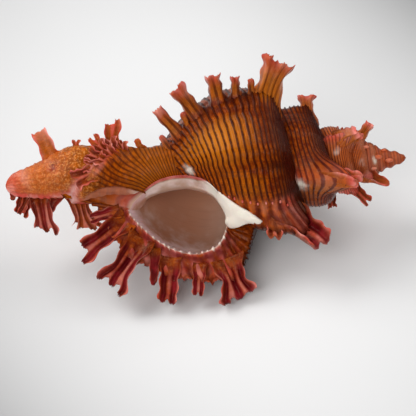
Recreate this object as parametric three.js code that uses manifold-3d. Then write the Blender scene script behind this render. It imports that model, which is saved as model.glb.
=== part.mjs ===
// A branched murex shell, one grown piece, in millimetres with +Z up.
//
// The shell is a right-handed spiral about its own axis, with the apex towards +X and the siphonal canal towards -X.
// It lies on the spines of two of its ribs, and its mouth faces -Y and upwards.
//
// In the shell's own frame a place is (distance, radius, turn): distance is measured along the axis from the
// spiral's centre towards the canal, radius from the axis, and turn is the growth angle in degrees, 0 at the lip
// and falling towards the apex. Every size shrinks by EXPANSION over one turn back.
import * as THREE from "three";
import { mergeVertices } from "three/addons/utils/BufferGeometryUtils.js";
import Module from "manifold-3d";

const wasm = await Module();
wasm.setup();

// ---- driving dimensions ----
const EXPANSION = 1.55; // growth over one turn
const SPIRAL_CENTRE_X = 47.5; // where the whorls run out, on the axis
const LIP_ANGLE = -75; // of the lip about the axis: 0 faces the mouth's side, 90 is its upper side
const APEX_FATTEN = 0.07; // keeps the first whorls plump
const FIRST_TURN = -1890; // the oldest whorl that is modelled
const RIB_HEIGHT = 0.1; // of a rib above the whorl, as a share of the radius
const NODE_HEIGHT = 0.035; // of the low swelling between two ribs
const [FLAT_TURN, FLAT_DEPTH, FLAT_WIDTH] = [-55, 0.06, 30]; // the last whorl's flatter side, that it lies on
const AXIS_RADIUS = 0.4; // the whorls' inner edge, filled by the columella
const [SECTOR, OLDER_SECTOR] = [113, 170]; // degrees of whorl in one part; 360 is no multiple, so no ends meet
const PLUG = 5; // how far a part's older end reaches into the next one
const TILT_BACK = 37.8; // from the shell's own frame to how it lies, about X
const PITCH = 4.4; // and about Y
const SPINE_STATIONS = [0, 0.15, 0.55, 1]; // along a spine; the first row stands inside the shell
const SPINE_ROOT = 1.8; // how deep a spine's root goes into the shell
const NOTCH = 0.78; // share of a spine's length where its digits part
const GUTTER_DEPTH = 0.45; // of a spine's hollow side, as a share of its half width
const CURL = 0.12; // how far a spine bends back, as a share of its length
const FOOT_CUT = 0.25; // taken off where the shell touches what it lies on, which leaves flat feet

// The whorl's outline at the lip: (distance, radius), from the suture over the shoulder to the canal.
const OUTLINE = [
  [36.3, 15.2], [38.2, 19.2], [41.2, 23.2], [46.5, 25.2], [53, 25], [59, 22.6],
  [65, 17.6], [69.5, 11.8], [73.5, 8], [79, 5.2], [84, 4],
].map(([d, r]) => new THREE.Vector2(d, r));
const [OUTLINE_POINTS, OLDER_OUTLINE_POINTS] = [18, 10];
const HIDDEN_BEYOND = 62; // an older whorl is covered by the next one past this distance

// The mouth's closed edge: distance, radius and how many degrees past the lip it stands. It runs along the lip
// from its corner at the suture to the canal, and back along the columella, whose edge stands further forward.
const MOUTH = [
  [41.5, 16.6, 0], [43.5, 19.6, 0], [47, 21.2, 0], [52, 21.4, 0], [56.5, 20, 0], [61, 17, 0], [64.5, 13.4, 0],
  [67, 10, 0], [66, 7.8, 5], [62, 5.4, 10], [56.5, 4.6, 18], [51.5, 4.8, 24], [46.5, 6.6, 24], [43.5, 9.6, 16],
  [41.6, 12.4, 7],
].map((point) => new THREE.Vector3(...point));
const MOUTH_START = -215; // how far back into the whorl the cavity is open
const [CAVITY_SIDES, CAVITY_STEPS] = [18, 10];
const MOUTH_OVERRUN = 3; // degrees that the cut goes past the mouth's edge

// The canal: x, height and depth of its middle in the shell's own frame, and its radius.
const CANAL = [
  [-12, 0.6, 0.5, 4.4], [-20, 0.1, 0.5, 5.6], [-26.5, 1.3, 0.8, 6.2], [-32.5, 2, 1.2, 6],
  [-38.5, 0.9, 1.8, 4.8], [-44.5, 0, 2.4, 3.3], [-48, -0.5, 2.8, 2.3], [-49.6, -0.6, 3, 1],
];

// ---- ribs and their spines ----
// A spine is [distance at its foot, length, lean, width, tip width, digits], at the lip's size:
// lean is the angle towards the apex from straight out, and digits are the fingers that its tip splits into.
const LIP_SPINES = [
  [43.8, 8.8, 6, 7, 8.4, 4], [50.6, 5.4, -8, 2.4, 2.8, 2], [57.6, 9.2, -10, 4.8, 5, 3],
  [61.4, 7.2, -8, 2, 1.8, 1], [64.8, 12.8, -36, 5.4, 6.4, 4], [68.8, 12.8, -58, 4.6, 6, 3], [70.6, 4.6, -74, 2, 2, 1],
];
const TOP_SPINES = [
  [39.6, 14.6, 17, 7.4, 9, 4], [50.8, 4.2, 0, 2.8, 3, 2], [57, 8.4, -10, 4.2, 4.8, 3],
  [64, 11.8, -32, 4.6, 5.2, 3], [69.4, 11.4, -34, 4, 4.2, 2],
];
const BACK_SPINES = [
  [41.2, 12.5, 10, 6.4, 7.4, 4], [48.6, 6.4, -4, 2.6, 3, 2], [55.4, 10.6, -12, 4.6, 5.2, 3],
  [61.5, 6, -22, 2.4, 2.6, 1], [66.4, 10.4, -38, 4.2, 4.8, 3], [71, 7, -50, 3, 3.2, 2],
];
const OLDER_SPINES = [[41.2, 8.5, 25, 6.4, 6.6, 2]];
const RIBS = [
  { turn: 0, spines: LIP_SPINES },
  { turn: -108, spines: BACK_SPINES },
  { turn: -217, spines: TOP_SPINES },
  { turn: -337, spines: [[40.4, 15.6, 34, 7.5, 8.4, 4], [44.6, 4, 0, 5, 4, 2]] },
  { turn: -445, spines: [[41.2, 20, 20, 7, 8, 3]] },
  { turn: -550, spines: [[42.4, 6.8, 4, 5.6, 8, 3]] },
  { turn: -655, spines: [[43.5, 22, 56, 8, 8.6, 3]] },
  { turn: -765, spines: [[42, 6.5, 5, 5, 6, 2]] },
  { turn: -870, spines: OLDER_SPINES },
  { turn: -965, spines: [[41.5, 27, 56, 12, 10, 2]] },
  { turn: -1075, spines: [[41.5, 18, 42, 9, 8, 2]] },
  { turn: -1180, spines: [[41.2, 9, 25, 7, 6, 1]] },
  { turn: -1285, spines: [[41.5, 14, 30, 9, 7, 1]] },
  { turn: -1390, spines: [[41.5, 25, 45, 12, 9, 1]] },
  { turn: -1495, spines: [[41.5, 20, 40, 10, 8, 1]] },
];

// Spines of the canal: foot [x, height], direction angle in degrees about the view, length, widths, digits, depth.
const CANAL_SPINES = [
  { foot: [-31, -3.4], angle: -93, length: 9.6, width: 4.6, tip: 7, digits: 4 },
  { foot: [-41.6, -2.6], angle: -82, length: 9.8, width: 3.8, tip: 2.4, digits: 1 },
  { foot: [-41.4, -3], angle: -122, length: 5.6, width: 2.6, tip: 1.8, digits: 1 },
  { foot: [-38, -3], angle: -108, length: 5, width: 3, tip: 2.4, digits: 1 },
  { foot: [-45.6, -1.6], angle: -100, length: 4.8, width: 3.4, tip: 2.6, digits: 1 },
  { foot: [-37.4, 2.6], angle: 116, length: 10.8, width: 6, tip: 4, digits: 1 },
  { foot: [-32, 5.4], angle: 80, length: 4.4, width: 3, tip: 1.8, digits: 1 },
  { foot: [-24, 4.4], angle: 118, length: 7.4, width: 3.6, tip: 2.6, digits: 1 },
  { foot: [-22.8, 4.4], angle: 80, length: 8.8, width: 4.4, tip: 2.8, digits: 1 },
];

// ---- the spiral ----
const radians = THREE.MathUtils.degToRad;
const scaleAt = (turn) => EXPANSION ** (turn / 360);

// A point in the shell's own frame.
function place(distance, radius, turn) {
  const scale = scaleAt(turn);
  const angle = radians(LIP_ANGLE + turn);
  const r = radius * (scale + APEX_FATTEN * (1 - scale) ** 4);
  return new THREE.Vector3(SPIRAL_CENTRE_X - scale * distance, -r * Math.cos(angle), r * Math.sin(angle));
}

// How much a rib or a swelling lifts the whorl at this turn: gentle behind a rib, steep in front of it.
function lift(turn) {
  let height = 0;
  RIBS.forEach((rib, i) => {
    const away = turn - rib.turn;
    height += RIB_HEIGHT * Math.exp(-((away / (away < 0 ? 13 : 5)) ** 2));
    const older = RIBS[i + 1];
    const middle = older ? (rib.turn + older.turn) / 2 : -1e4;
    height += NODE_HEIGHT * Math.exp(-(((turn - middle) / 14) ** 2));
  });
  return 1 + height - FLAT_DEPTH * Math.exp(-(((turn - FLAT_TURN) / FLAT_WIDTH) ** 2));
}

// The whorl's outline at a turn, lifted by its ribs between the suture and the canal.
function outlineAt(turn, points, last) {
  return new THREE.SplineCurve(OUTLINE).getSpacedPoints(points).filter((p) => p.x <= last + 0.01).map((p) => {
    const share = THREE.MathUtils.smoothstep(p.x, 36, 41) * (1 - THREE.MathUtils.smoothstep(p.x, 70, 80));
    return new THREE.Vector2(p.x, p.y * (1 + (lift(turn) - 1) * share));
  });
}

// ---- solids ----
function manifoldOf(geometry) {
  const merged = mergeVertices(geometry, 1e-4);
  const mesh = () => new wasm.Mesh({
    numProp: 3, vertProperties: merged.attributes.position.array, triVerts: new Uint32Array(merged.index.array),
  });
  const solid = new wasm.Manifold(mesh());
  if (solid.volume() > 0) return solid;
  const index = merged.index.array;
  for (let i = 0; i < index.length; i += 3) [index[i + 1], index[i + 2]] = [index[i + 2], index[i + 1]];
  return new wasm.Manifold(mesh());
}

// A closed solid through rings of equal length, with a fan of faces over each end.
function loft(rings, startCentre, endCentre) {
  const count = rings[0].length;
  const points = rings.flat();
  const faces = [];
  for (let i = 0; i + 1 < rings.length; i++) {
    for (let j = 0; j < count; j++) {
      const [a, b] = [i * count + j, i * count + ((j + 1) % count)];
      faces.push(a, b, b + count, a, b + count, a + count);
    }
  }
  const middle = (ring) => ring.reduce((sum, p) => sum.add(p), new THREE.Vector3()).divideScalar(ring.length);
  const first = points.push(startCentre ?? middle(rings[0])) - 1;
  const last = points.push(endCentre ?? middle(rings[rings.length - 1])) - 1;
  const offset = (rings.length - 1) * count;
  for (let j = 0; j < count; j++) {
    const next = (j + 1) % count;
    faces.push(first, next, j, last, offset + j, offset + next);
  }
  const geometry = new THREE.BufferGeometry().setFromPoints(points).setIndex(faces);
  return manifoldOf(geometry);
}

// A closed solid between two grids of points with the same rows and columns.
function slab(back, front) {
  const [rows, columns] = [back.length, back[0].length];
  const at = (grid, i, j) => (grid * rows + i) * columns + j;
  const faces = [];
  const quad = (a, b, c, d) => faces.push(a, b, c, a, c, d);
  for (let i = 0; i + 1 < rows; i++) {
    for (let j = 0; j + 1 < columns; j++) {
      quad(at(0, i, j), at(0, i + 1, j), at(0, i + 1, j + 1), at(0, i, j + 1));
      quad(at(1, i, j), at(1, i, j + 1), at(1, i + 1, j + 1), at(1, i + 1, j));
    }
    quad(at(0, i, 0), at(1, i, 0), at(1, i + 1, 0), at(0, i + 1, 0));
    quad(at(0, i, columns - 1), at(0, i + 1, columns - 1), at(1, i + 1, columns - 1), at(1, i, columns - 1));
  }
  for (let j = 0; j + 1 < columns; j++) {
    quad(at(0, 0, j), at(0, 0, j + 1), at(1, 0, j + 1), at(1, 0, j));
    quad(at(0, rows - 1, j), at(1, rows - 1, j), at(1, rows - 1, j + 1), at(0, rows - 1, j + 1));
  }
  return manifoldOf(new THREE.BufferGeometry().setFromPoints([...back.flat(), ...front.flat()]).setIndex(faces));
}

// Part of a whorl from the axis to its outline, between two turns. Its older end tapers on into the next part.
function whorlSector(turns, points, last) {
  const rings = turns.map((turn) => {
    const outline = outlineAt(turn, points, last);
    const end = outline[outline.length - 1].x;
    return [
      ...outline.map((p) => place(p.x, p.y, turn)),
      place(end, AXIS_RADIUS, turn),
      place(OUTLINE[0].x, AXIS_RADIUS, turn),
    ];
  });
  const centre = (turn) => place(50, 8, turn);
  const plugTurn = turns[0] - PLUG;
  const plug = outlineAt(plugTurn, points, last).map((p) => place(p.x, p.y, plugTurn));
  plug.push(place(last, AXIS_RADIUS, plugTurn), place(OUTLINE[0].x, AXIS_RADIUS, plugTurn));
  plug.forEach((p) => p.lerp(centre(plugTurn), 0.3));
  return loft([plug, ...rings], centre(plugTurn), centre(turns[turns.length - 1]));
}

// The turns of the whorl's rings: evenly spaced, with extra ones at each rib.
function ringTurns(from, to, step) {
  const turns = new Set([from, to]);
  for (let turn = from; turn < to; turn += step) turns.add(turn);
  RIBS.forEach((rib) => [-12, -2, 6].forEach((d) => turns.add(rib.turn + d)));
  return [...turns].filter((turn) => turn >= from && turn <= to).sort((a, b) => a - b)
    .filter((turn, i, all) => i === 0 || turn === to || turn - all[i - 1] > 3);
}

function whorls() {
  const sectors = [];
  const last = (turn) => (turn > -370 ? 84 : HIDDEN_BEYOND);
  let to = 0;
  while (to > FIRST_TURN) {
    const from = Math.max(FIRST_TURN, to - (to > -720 ? SECTOR : OLDER_SECTOR));
    const step = to > -360 ? 15 : to > -720 ? 24 : 45;
    sectors.push(whorlSector(ringTurns(from, to, step), to > -720 ? OUTLINE_POINTS : OLDER_OUTLINE_POINTS, last(to)));
    to = from;
  }
  return wasm.Manifold.union(sectors);
}

const circle = (middle, radius, sides, squash = 1) =>
  Array.from({ length: sides }, (_, k) => {
    const angle = (2 * Math.PI * k) / sides;
    return new THREE.Vector3(middle.x, middle.y + squash * radius * Math.cos(angle), middle.z + radius * Math.sin(angle));
  });

function apexCap() {
  const rings = [[8, 4.9], [4, 3], [1, 1.9], [-1.2, 1.1]].map(([d, r]) =>
    circle(new THREE.Vector3(SPIRAL_CENTRE_X - d, 0, 0), r, 8));
  return loft(rings, undefined, new THREE.Vector3(SPIRAL_CENTRE_X + 2.2, 0, 0));
}

const columella = () =>
  loft([[6, 1], [30, 1.4], [45, 3.4], [54, 4], [62, 4.4], [70, 4.6]].map(([d, r]) =>
    circle(new THREE.Vector3(SPIRAL_CENTRE_X - d, 0, 0), r, 12)));

// The canal's open channel, from the mouth's lower corner: x, depth, height and radius.
const CHANNEL = [[-15, -2.4, -7.6, 2.4], [-21, -2.6, -6.2, 2], [-26.5, -2.8, -4.4, 1.7], [-31, -3.4, -2.8, 1.2],
  [-36, -3.6, -2.2, 0.7]];
const channel = () => loft(CHANNEL.map(([x, depth, height, r]) => circle(new THREE.Vector3(x, depth, height), r, 8)));

const canal = () => loft(CANAL.map(([x, height, depth, r]) => circle(new THREE.Vector3(x, depth, height), r, 14)));

// The hollow of the last whorl, open at the mouth.
function cavity() {
  const edge = new THREE.CatmullRomCurve3(MOUTH, true).getSpacedPoints(CAVITY_SIDES).slice(0, -1);
  const rings = Array.from({ length: CAVITY_STEPS + 1 }, (_, i) =>
    edge.map((p) => {
      const end = p.z + MOUTH_OVERRUN;
      return place(p.x, p.y, MOUTH_START + ((end - MOUTH_START) * i) / CAVITY_STEPS);
    }));
  return loft(rings, place(54, 13, MOUTH_START), place(54, 14, 26));
}

const callus = () => {
  const blob = new THREE.IcosahedronGeometry(1, 1);
  blob.deleteAttribute("normal");
  blob.deleteAttribute("uv");
  blob.scale(6.4, 3.2, 3.4).rotateX(radians(-45)).rotateY(radians(8));
  blob.translate(11.2, -10.5, -12.4);
  return manifoldOf(blob);
};

// A leafy spine: a blade bent into a gutter, open on its forward side, whose tip splits into digits.
// The foot is where it leaves the shell; out, across and forward are its unit axes.
function spine({ foot, out, across, forward }, { length, width, tip, digits }) {
  const columns = Math.max(3, 2 * digits - 1);
  const wall = 0.9 + width * 0.12;
  const surface = (side) => SPINE_STATIONS.map((station, row) =>
    Array.from({ length: columns }, (_, k) => {
      const u = (2 * k) / (columns - 1) - 1;
      const notch = k % 2 === (digits > 1 ? 1 : 0);
      const t = row === 0 ? -SPINE_ROOT / length : row < 3 ? station : notch ? NOTCH : 1 - 0.05 * (k % 3);
      const half = 0.5 * (width + (tip - width) * Math.max(0, t)) * (row < 1 ? 1.2 : 1);
      const gutter = GUTTER_DEPTH * half * (u * u - 0.4) - CURL * length * t * t;
      const thick = 0.5 * side * wall * (1 - 0.3 * u * u) * (1 - 0.35 * Math.max(0, t));
      return foot.clone().addScaledVector(out, t * length).addScaledVector(across, u * half)
        .addScaledVector(forward, gutter + thick);
    }));
  return slab(surface(-1), surface(1));
}

// The spines of one rib. Out, across and forward are along the radius, the axis and the way the shell grows.
function ribSpines({ turn, spines }) {
  const scale = scaleAt(turn);
  const angle = radians(LIP_ANGLE + turn);
  const radial = new THREE.Vector3(0, -Math.cos(angle), Math.sin(angle));
  const forward = new THREE.Vector3(0, Math.sin(angle), Math.cos(angle));
  const outline = new THREE.SplineCurve(OUTLINE).getPoints(120);
  return spines.map(([distance, length, lean, width, tip, digits]) => {
    const radius = outline.find((p) => p.x >= distance).y * (1 + RIB_HEIGHT * 0.5);
    const foot = place(distance, radius, turn - 2);
    const out = radial.clone().multiplyScalar(Math.cos(radians(lean)));
    out.x = Math.sin(radians(lean));
    const across = radial.clone().multiplyScalar(-Math.sin(radians(lean)));
    across.x = Math.cos(radians(lean));
    return spine({ foot, out, across, forward },
      { length: length * scale, width: width * scale, tip: tip * scale, digits });
  });
}

function canalSpines() {
  return CANAL_SPINES.map(({ foot, angle, ...sizes }) => {
    const out = new THREE.Vector3(Math.cos(radians(angle)), 0, Math.sin(radians(angle)));
    const across = new THREE.Vector3(-out.z, 0, out.x);
    const forward = new THREE.Vector3(0, foot[1] < 0 ? -1 : 1, 0);
    return spine({ foot: new THREE.Vector3(foot[0], 1, foot[1]), out, across, forward }, sizes);
  });
}

// ---- the shell ----
const hollowed = wasm.Manifold.union([whorls(), apexCap(), columella(), canal(), callus()]).subtract(cavity()).subtract(channel());
const whole = wasm.Manifold.union([hollowed, ...RIBS.flatMap(ribSpines), ...canalSpines()]);

function geometryOf(solid) {
  const { vertProperties, numProp, triVerts } = solid.getMesh();
  const points = new Float32Array((vertProperties.length / numProp) * 3);
  for (let i = 0; i * 3 < points.length; i++) points.set(vertProperties.subarray(i * numProp, i * numProp + 3), i * 3);
  return new THREE.BufferGeometry()
    .setAttribute("position", new THREE.BufferAttribute(points, 3))
    .setIndex(new THREE.BufferAttribute(triVerts, 1));
}

const lying = whole.rotate([-TILT_BACK, 0, 0]).rotate([0, PITCH, 0]);
const resting = lying.trimByPlane([0, 0, 1], lying.boundingBox().min[2] + FOOT_CUT);
const { min, max } = resting.boundingBox();
const placed = resting.translate([-(min[0] + max[0]) / 2, -(min[1] + max[1]) / 2, -min[2]]);
const geometry = geometryOf(placed);
const shell = new THREE.Mesh(geometry, new THREE.MeshStandardMaterial({ color: "#9a5222", roughness: 0.45, metalness: 0 }));
shell.name = "shell";
const root = new THREE.Group();
root.add(shell);
export default root;
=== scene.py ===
"""A branched murex shell: its picture mesh, its shell materials, and the studio it lies in."""
import itertools
import math

import bpy
import numpy as np
from mathutils import Matrix, Vector
from mathutils.bvhtree import BVHTree


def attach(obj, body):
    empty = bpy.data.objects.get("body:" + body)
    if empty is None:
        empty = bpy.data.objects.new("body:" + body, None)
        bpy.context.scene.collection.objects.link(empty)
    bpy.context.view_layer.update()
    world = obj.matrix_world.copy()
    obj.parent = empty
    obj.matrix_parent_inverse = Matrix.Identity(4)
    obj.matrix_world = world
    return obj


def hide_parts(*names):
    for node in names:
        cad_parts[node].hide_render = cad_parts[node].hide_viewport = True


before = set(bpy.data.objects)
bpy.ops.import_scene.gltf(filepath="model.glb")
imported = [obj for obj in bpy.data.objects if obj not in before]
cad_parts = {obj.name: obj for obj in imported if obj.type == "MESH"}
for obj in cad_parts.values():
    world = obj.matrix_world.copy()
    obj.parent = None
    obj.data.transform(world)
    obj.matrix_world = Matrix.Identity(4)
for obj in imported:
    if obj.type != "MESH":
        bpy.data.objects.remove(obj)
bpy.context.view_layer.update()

scene = bpy.context.scene
MM = 0.001


def thing(name, data):
    """A new object in the scene."""
    made = bpy.data.objects.new(name, data)
    scene.collection.objects.link(made)
    return made



# ---- the shell's own frame, in mm: the same spiral as the CAD part ----
EXPANSION, CENTRE_X, LIP_ANGLE, FATTEN = 1.55, 47.5, -75.0, 0.07
LIP_RADIANS = math.radians(LIP_ANGLE)
FORWARD = np.array([0, math.sin(LIP_RADIANS), math.cos(LIP_RADIANS)])  # the way the lip grows
AXIS_RADIUS = 0.4  # of the whorls' inner edge
OLDEST_TURN, INNER_WALL_TURN = -1890, -262.0  # where the first whorl starts, and where the hollow ends
# how the shell lies: turned about X and then about Y, and moved to where the CAD part stands
TILT_BACK, PITCH = 37.8, 4.4
LYING = Matrix.Rotation(math.radians(PITCH), 3, "Y") @ Matrix.Rotation(math.radians(-TILT_BACK), 3, "X")
SHIFT = np.array([0.0772, -0.0480, 23.0544])
# the whorl's outline at the lip: (distance, radius)
OUTLINE = [(36.3, 15.2), (38.2, 19.2), (41.2, 23.2), (46.5, 25.2), (53, 25), (59, 22.6),
        (65, 17.6), (69.5, 11.8), (73.5, 8), (79, 5.2), (84, 4)]
OUTLINE_START, OUTLINE_END = OUTLINE[0][0], OUTLINE[-1][0]
# the mouth's edge along the lip and back along the columella: distance, radius, degrees past the lip
MOUTH_LIP = [(43.3, 14.6, 0), (44.2, 17.3, 0), (46, 19.7, 0), (49, 21.0, 0), (52, 21.4, 0), (56.5, 20, 0),
        (61, 17, 0), (64.5, 13.4, 0), (67, 10, 0), (66.6, 8.6, 3)]
MOUTH_INNER = [(66.6, 8.6, 3), (66, 7.6, 5), (62, 4.6, 10), (56.5, 3.6, 18), (51.5, 3.9, 24), (46.5, 6.2, 24),
        (44, 9.6, 16), (43.2, 12, 7), (43.3, 14.6, 0)]
TEETH = 21  # along the lip
# turn of each rib; its height and the width of its forward side, in degrees
RIBS = {0: (0.1, 5), -108: (0.1, 9), -217: (0.0, 8), -337: (0.11, 10), -445: (0.1, 9), -550: (0.1, 9),
        -662: (0.15, 7), -765: (0.1, 9), -870: (0.1, 9), -965: (0.17, 8), -1075: (0.14, 9), -1180: (0.1, 9),
        -1285: (0.14, 9), -1415: (0.16, 9), -1520: (0.12, 9)}
RIB_BEHIND = 13  # width of a rib's rear side, in degrees
NODE_HEIGHT = 0.035  # of the low swelling between two ribs
# mean distance between two cords at the lip, along the outline
CORD_GAPS = ([36, 38, 41, 45, 50, 62, 70, 76, 84], [0.6, 0.9, 1.2, 1.7, 2.2, 2.4, 2.1, 2.0, 1.8])

# The leafy spines on each rib: distance at the foot, length, lean towards the apex, width at the waist and at
# the tip, digits, and what else is special, as frond() takes it. Sizes are as at the lip. Two more values
# shape the whorl below: rise is its height there as a share of the length, and wide its widths behind and in
# front.
LIP_FRONDS = [
    (43.6, 9.4, 16, 6.0, 10.4, 3, dict(base=8.5, notch=0.11, lengths=[1, 0.95, 0.88], roll=1.0, rise=0.2,
        splay=0.14, stout=1.4)),
    (50.6, 6.4, -8, 2.8, 2.9, 2, dict(base=3.8, notch=0.12, rise=0.1)),
    (57.6, 10.0, -9, 4.6, 4.8, 2, dict(base=5.4, notch=0.1, lengths=[0.97, 1], roll=1.2, rise=0.12)),
    (61.4, 8.0, -7, 2.2, 1.8, 1, dict(base=3, rise=0.1)),
    (64.8, 14.0, -38, 5.2, 7.4, 3, dict(base=7.0, notch=0.16, lengths=[0.95, 0.93, 1], roll=1.2, rise=0.2,
        splay=0.2)),
    (68.8, 14.0, -55, 4.8, 5.8, 2, dict(base=6.2, notch=0.2, lengths=[0.84, 1], roll=1.2, rise=0.2,
        splay=0.06)),
    (71.0, 6.4, -78, 2.6, 2.6, 2, dict(base=3.6, rise=0.1)),
]
TOP_FRONDS = [
    (41.4, 14.4, 15, 7.8, 11.4, 3, dict(base=13, notch=0.14, bow=0.16, lengths=[1, 0.9, 0.84], splay=0.2,
        rise=0.2, roll=0.8, curl=0.1, gap=1.5, root=7.0, tone=1.1, dark=0.7, lined=0.65)),
    (45.6, 5.2, -2, 2.2, 2.2, 1, dict(base=5, rise=0.1)),
    (50.8, 5.6, 0, 2.8, 3.0, 2, dict(base=5, notch=0.08, rise=0.12)),
    (56.6, 8.6, -9, 4.6, 4.8, 2, dict(base=6.0, notch=0.06, rise=0.12)),
    (63.4, 11.8, -32, 4.8, 5.4, 2, dict(base=6.8, notch=0.1, lengths=[0.93, 1], rise=0.12)),
    (66.4, 5.0, -20, 2.2, 2.2, 1, dict(base=4, rise=0.1)),
    (69.0, 13.0, -35, 3.8, 3.6, 1, dict(base=5.5, notch=0.05, rise=0.12)),
    (72.8, 5.4, -30, 2.0, 2.2, 1, dict(base=4, rise=0.1)),
]
BACK_FRONDS = [
    (41.2, 12.5, 10, 6.4, 8.4, 4, {}), (48.6, 6.4, -4, 2.6, 3, 2, {}), (55.4, 10.6, -12, 4.6, 6, 3, {}),
    (61.5, 6, -22, 2.4, 2.8, 1, {}), (66.4, 10.4, -38, 4.2, 5.6, 3, {}), (71, 7, -50, 3, 3.4, 2, {}),
]
RIB_FRONDS = {
    0: LIP_FRONDS,
    -217: TOP_FRONDS,
    -108: BACK_FRONDS,
    -337: [
        (41.6, 17.0, 42, 8.6, 10.0, 2, dict(base=14, notch=0.1, hollow=1.1, curl=-0.02, lengths=[0.94, 1],
            rosy=0.35, rise=0.5, wide=(16, 8), roll=1.5, lined=0.3, stout=1.6, splay=0.02)),
        (47.6, 6.0, -2, 5.6, 5.8, 2, dict(base=8, notch=0.1, rosy=0.4, hollow=1.0, stout=1.8, lined=0.2,
            roll=1.2, tone=0.7)),
    ],
    -445: [(41.2, 20, 20, 7, 9, 3, {})],
    -550: [(42.2, 9.4, 4, 6.4, 9.4, 2, dict(base=12, notch=0.14, splay=0.2, rosy=0.8, rise=0.3))],
    -662: [(43.0, 23, 60, 8.6, 9.0, 4, dict(gap=3.0, base=10, notch=0.34, hollow=0.3, curl=-0.03, rosy=0.9,
        roll=1.9, rise=0.8, splay=0.16, wide=(21, 19), lined=0.0, stout=1.3))],
    -765: [(42, 9, 5, 5, 6, 2, {}), (50, 5, -6, 4, 4, 1, {})],
    -870: [(41.2, 9, 25, 6.4, 7.4, 2, {})],
    -965: [(41.5, 16, 50, 12, 11, 3, dict(gap=3.0, base=18, rosy=1.0, notch=0.15, roll=1.6, rise=0.6,
        wide=(14, 10), lined=0.2))],
    -1075: [(41.5, 21, 42, 9, 9, 2, dict(base=16, rosy=0.6))],
    -1180: [(41.2, 10, 25, 7, 7, 1, dict(rosy=0.9))],
    -1285: [(41.5, 24, 38, 11, 11, 2, dict(gap=3.0, base=18, rosy=1.0, notch=0.1, roll=1.0))],
    -1415: [(41.5, 34, 60, 13, 12, 1, dict(gap=3.0, base=24, rosy=0.9, roll=1.7, rise=0.2))],
    -1520: [(41.5, 20, 40, 12, 10, 1, dict(base=22, rosy=0.9))],
}
# what all spines of a rib share, where their own row says nothing else
SHARED = {
    0: dict(back=0.2, deep=1.2, root=1.6, hollow=1.1, rosy=0.08, curl=0.04),
    -217: dict(longer=1.5, back=1.2, deep=1.5, rosy=0.7, tone=0.6, dark=1.3, lined=0.9),
    -108: dict(lined=0.3, root=8.0, dark=0.6),
}
SHARED_BY_OLDER = dict(lined=0.3, root=8.0, dark=0.3, rows=18)


def catmull(points, count, closed=False):
    """Evenly spaced points along a smooth curve through the given ones."""
    p = np.asarray(points, float)
    spans = len(p) if closed else len(p) - 1
    t = np.linspace(0, spans, 60 * spans + 1)
    i = np.minimum(t.astype(int), spans - 1)
    f = (t - i)[:, None]
    at = (lambda k: p[(i + k) % len(p)]) if closed else (lambda k: p[np.clip(i + k, 0, len(p) - 1)])
    a, b, c, d = at(-1), at(0), at(1), at(2)
    q = 0.5 * (2 * b + (c - a) * f + (2 * a - 5 * b + 4 * c - d) * f**2 + (3 * b - a - 3 * c + d) * f**3)
    s = np.r_[0, np.cumsum(np.linalg.norm(np.diff(q, axis=0), axis=1))]
    u = np.linspace(0, s[-1], count)
    return np.stack([np.interp(u, s, q[:, k]) for k in range(p.shape[1])], 1)


def smooth(x, low, high):
    t = np.clip((x - low) / (high - low), 0, 1)
    return t * t * (3 - 2 * t)


def fall(x, low, high):
    return 1 - smooth(x, low, high)


def bell(x, middle, width):
    return np.exp(-(((x - middle) / width) ** 2))


def vectors(x, y, z):
    """Points from coordinates whose shapes fit together."""
    return np.stack(np.broadcast_arrays(x, y, z), -1)


def around(count):
    return np.linspace(0, 2 * np.pi, count, endpoint=False)[None, :]


DENSE = catmull(OUTLINE, 900)
DENSE_S = np.r_[0, np.cumsum(np.linalg.norm(np.diff(DENSE, axis=0), axis=1))]
DENSE_C = np.r_[0, np.cumsum(np.diff(DENSE_S) / np.interp(DENSE[1:, 0], *CORD_GAPS))]


def scale_at(turn):
    return EXPANSION ** (np.asarray(turn, float) / 360)


def place(distance, radius, turn):
    s = scale_at(turn)
    angle = np.radians(LIP_ANGLE + np.asarray(turn, float))
    r = radius * (s + FATTEN * (1 - s) ** 4)
    return vectors(CENTRE_X - s * distance, -r * np.cos(angle), r * np.sin(angle))


def rib_mask(turn, width):
    return sum(bell(turn, rib, width) for rib in RIBS)


def lift(turn):
    """How far the whorl is raised at this turn, as a share of its radius."""
    height = 0
    order = sorted(RIBS, reverse=True)
    for rib, older in zip(order, [*order[1:], None]):
        tall, ahead = RIBS[rib]
        height = height + tall * bell(turn, rib, np.where(turn < rib, RIB_BEHIND, ahead))
        if older is not None:
            height = height + NODE_HEIGHT * bell(turn, (rib + older) / 2, 14)
    flatter_side = 0.06 * bell(turn, -55, 30)
    # a growth stop: a swelling and then a step inwards
    growth_stop = 0.03 * bell(turn, -271, 8) - 0.022 * bell(turn, -286, 5)
    return height - flatter_side + growth_stop


def cord_at(distance):
    """The cord coordinate at the lip's size: a whole number on each dark cord."""
    beyond = np.maximum(0, distance - OUTLINE_END) / 1.5
    return np.interp(distance, DENSE[:, 0], DENSE_C) + beyond


# ---- the mesh under construction ---- What colours each point: its place across the cords and along the
# whorl (cord, turn), how strong the dark cords are (lines), and how much of each look it has. The tone value
# is golden above 0 and dark brown below: partly the shell's own gold and brown, partly painted highlights
# and painted shade.
NAMES = ("cord", "lines", "turn", "pink", "crimson", "pale", "inside", "grain", "tone")
NO_CORNER = -(10**9)  # the fourth corner of a triangle
store = {"points": [], "faces": [], "count": 0, **{name: [] for name in NAMES}}


def add(points, faces, **values):
    n = len(points)
    store["points"].append(points)
    store["faces"].append(np.asarray(faces) + store["count"])
    store["count"] += n
    for name in NAMES:
        store[name].append(np.broadcast_to(np.asarray(values.get(name, 0.0), float), (n,)))


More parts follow.
